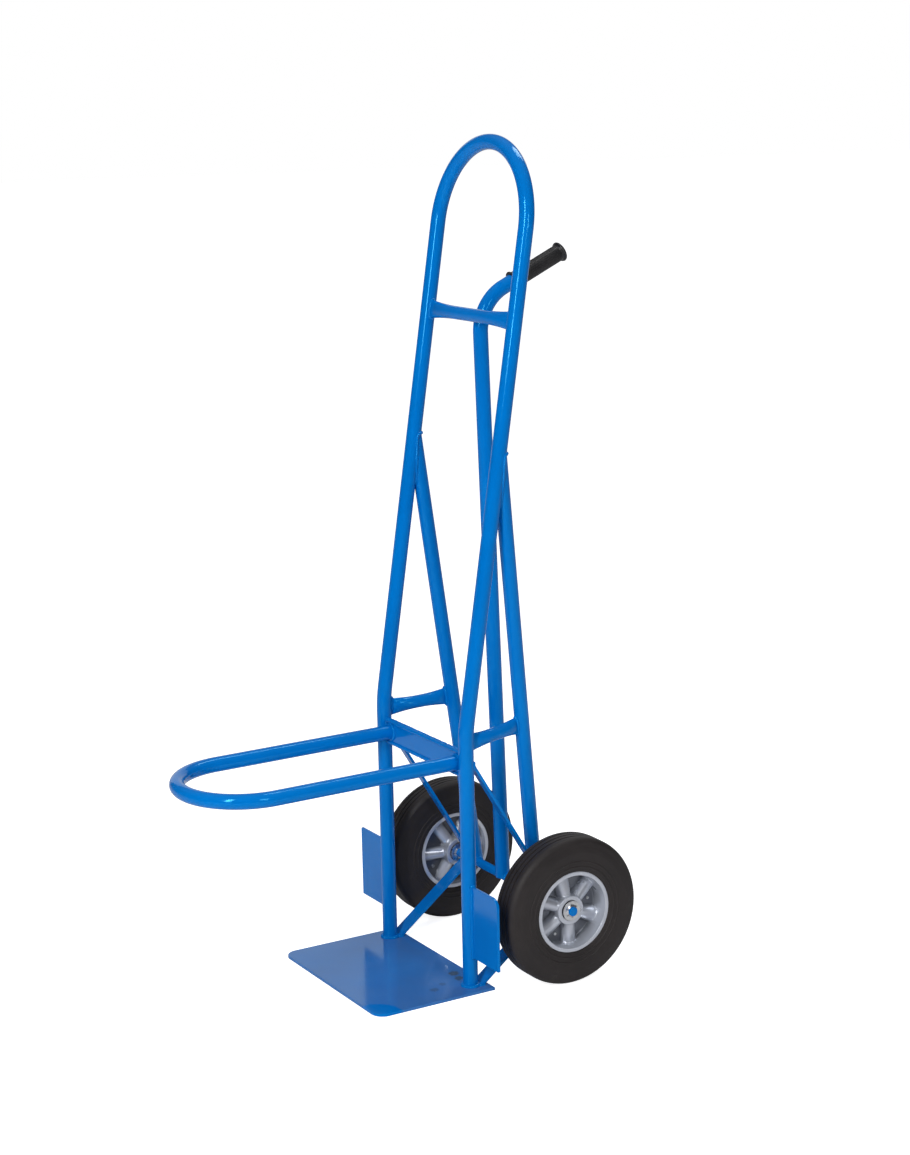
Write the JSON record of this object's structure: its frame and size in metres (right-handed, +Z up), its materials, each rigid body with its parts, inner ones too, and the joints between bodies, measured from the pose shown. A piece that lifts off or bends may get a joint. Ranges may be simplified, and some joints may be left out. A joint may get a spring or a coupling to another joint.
{
  "type": "chair hand truck",
  "caption": "Hand truck for stacked chairs: bent-tube frame with a U-shaped seat loop, toe plate, central rear handle and rolling wheels.",
  "frame": {"origin": "on the underside of the toe plate, in the middle plane, below the front legs", "axes": "+Z up, -Y towards the load, +Y towards the handle and the wheels, X along the axle"},
  "size_m": [0.454, 0.7447, 1.3997],
  "materials": {
    "blue_paint_tubes": "glossy blue paint on bent steel tube",
    "blue_paint_plates": "glossy blue paint on flat steel",
    "blue_paint_axle": "blue paint on a steel rod",
    "grip_vinyl": "black ribbed vinyl, soft sheen",
    "tyre_rubber": "black solid rubber, lightly dusted",
    "hub_plastic": "grey moulded plastic, satin",
    "zinc": "bright zinc plate",
    "bearing_steel": "ground steel"
  },
  "bodies": {
    "frame": {"main_frame_tube": "blue_paint_tubes", "seat_loop": "blue_paint_tubes", "seat_crossmember": "blue_paint_tubes", "upper_crossbar": "blue_paint_tubes", "left_side_spacer": "blue_paint_tubes", "right_side_spacer": "blue_paint_tubes", "left_rear_strut": "blue_paint_tubes", "right_rear_strut": "blue_paint_tubes", "handle_tube": "blue_paint_tubes", "handle_grip": "grip_vinyl", "toe_plate": "blue_paint_plates", "left_wheel_guard": "blue_paint_plates", "right_wheel_guard": "blue_paint_plates", "left_upper_brace": "blue_paint_plates", "right_upper_brace": "blue_paint_plates", "left_lower_brace": "blue_paint_plates", "right_lower_brace": "blue_paint_plates", "axle": "blue_paint_axle", "left_bearing_spacer": "bearing_steel", "left_bearing_inner_races": "bearing_steel", "left_outer_push_nut": "zinc", "left_inner_push_nut": "zinc", "right_bearing_spacer": "bearing_steel", "right_bearing_inner_races": "bearing_steel", "right_outer_push_nut": "zinc", "right_inner_push_nut": "zinc"},
    "left_wheel": {"left_tyre": "tyre_rubber", "left_hub_outer_half": "hub_plastic", "left_hub_inner_half": "hub_plastic", "left_hub_screws": "zinc", "left_bearing_outer_races": "bearing_steel", "left_bearing_balls": "bearing_steel"},
    "right_wheel": {"right_tyre": "tyre_rubber", "right_hub_outer_half": "hub_plastic", "right_hub_inner_half": "hub_plastic", "right_hub_screws": "zinc", "right_bearing_outer_races": "bearing_steel", "right_bearing_balls": "bearing_steel"}
  },
  "joints": [
    {"name": "left_wheel_spin", "type": "hinge", "parent": "frame", "child": "left_wheel", "pos_m": [-0.1904, 0.1586, 0.127], "axis": [1, 0, 0], "continuous": true},
    {"name": "right_wheel_spin", "type": "hinge", "parent": "frame", "child": "right_wheel", "pos_m": [0.1904, 0.1586, 0.127], "axis": [1, 0, 0], "continuous": true}
  ]
}
